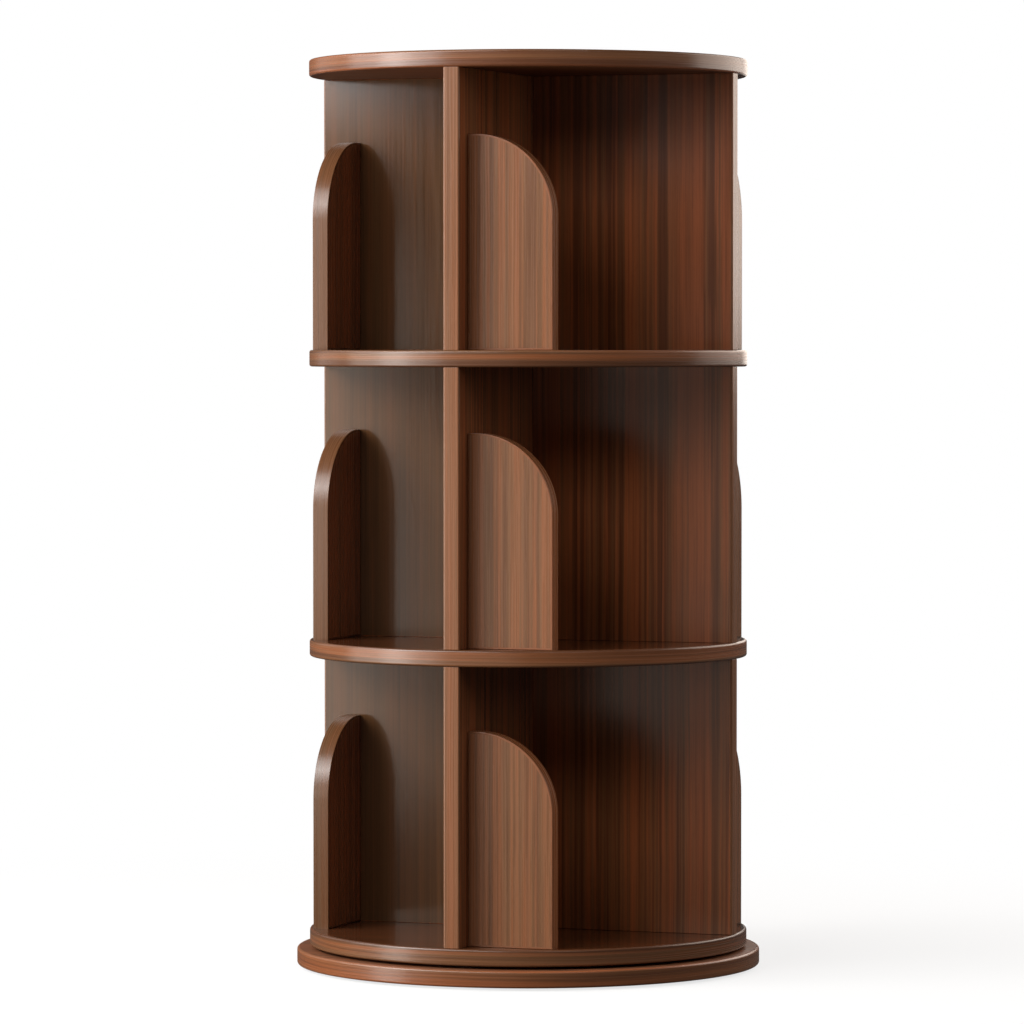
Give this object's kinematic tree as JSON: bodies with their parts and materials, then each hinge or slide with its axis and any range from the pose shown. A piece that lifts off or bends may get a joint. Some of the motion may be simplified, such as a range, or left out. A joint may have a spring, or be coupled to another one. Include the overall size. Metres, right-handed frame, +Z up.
{
  "type": "rotating bookcase",
  "caption": "Free-standing round bookcase: tiers of open bays with upright dividers and rounded book-ends turn together on a ball-bearing ring above a wider fixed base disc.",
  "frame": {"origin": "on the turning axis, in the plane that the foot pads stand on", "axes": "+Z up along the turning axis; X along the short dividers and Y along the long dividers at rest"},
  "size_m": [0.508, 0.508, 0.9923],
  "materials": {
    "walnut_board": "satin walnut-grain foil on board, with edge bands",
    "zinc_steel": "zinc plated",
    "beech_dowel": "bare fluted beech",
    "rubber_pad": "matte black"
  },
  "bodies": {
    "base": {"base_disc": "walnut_board", "foot_pad_1": "rubber_pad", "foot_pad_2": "rubber_pad", "foot_pad_3": "rubber_pad", "foot_pad_4": "rubber_pad", "bearing_outer_ring": "zinc_steel", "outer_ring_screw_1": "zinc_steel", "outer_ring_screw_2": "zinc_steel", "outer_ring_screw_3": "zinc_steel"},
    "carousel": {"bottom_shelf": "walnut_board", "lower_shelf": "walnut_board", "upper_shelf": "walnut_board", "top_panel": "walnut_board", "long_divider_1": "walnut_board", "long_divider_2": "walnut_board", "long_divider_3": "walnut_board", "short_divider_right_1": "walnut_board", "short_divider_left_1": "walnut_board", "short_divider_right_2": "walnut_board", "short_divider_left_2": "walnut_board", "short_divider_right_3": "walnut_board", "short_divider_left_3": "walnut_board", "book_end_1_1": "walnut_board", "book_end_1_2": "walnut_board", "book_end_1_3": "walnut_board", "book_end_1_4": "walnut_board", "book_end_2_1": "walnut_board", "book_end_2_2": "walnut_board", "book_end_2_3": "walnut_board", "book_end_2_4": "walnut_board", "book_end_3_1": "walnut_board", "book_end_3_2": "walnut_board", "book_end_3_3": "walnut_board", "book_end_3_4": "walnut_board", "bottom_shelf_dowel_1": "beech_dowel", "bottom_shelf_dowel_2": "beech_dowel", "bottom_shelf_dowel_3": "beech_dowel", "bottom_shelf_dowel_4": "beech_dowel", "lower_shelf_dowel_1": "beech_dowel", "lower_shelf_dowel_2": "beech_dowel", "lower_shelf_dowel_3": "beech_dowel", "lower_shelf_dowel_4": "beech_dowel", "upper_shelf_dowel_1": "beech_dowel", "upper_shelf_dowel_2": "beech_dowel", "upper_shelf_dowel_3": "beech_dowel", "upper_shelf_dowel_4": "beech_dowel", "top_panel_dowel_1": "beech_dowel", "top_panel_dowel_2": "beech_dowel", "top_panel_dowel_3": "beech_dowel", "top_panel_dowel_4": "beech_dowel", "tie_dowel_1": "beech_dowel", "tie_dowel_2": "beech_dowel", "tie_dowel_3": "beech_dowel", "bearing_inner_ring": "zinc_steel", "inner_ring_screw_1": "zinc_steel", "inner_ring_screw_2": "zinc_steel", "inner_ring_screw_3": "zinc_steel"},
    "cage": {"ball_cage": "zinc_steel"}
  },
  "joints": [
    {"name": "carousel_spin", "type": "hinge", "parent": "base", "child": "carousel", "pos_m": [0, 0, 0.0218], "axis": [0, 0, 1], "continuous": true},
    {"name": "cage_spin", "type": "hinge", "parent": "base", "child": "cage", "pos_m": [0, 0, 0.0218], "axis": [0, 0, 1], "continuous": true}
  ],
  "couplings": [
    {"joint": "cage_spin", "follows": "carousel_spin", "ratio": 0.49}
  ]
}
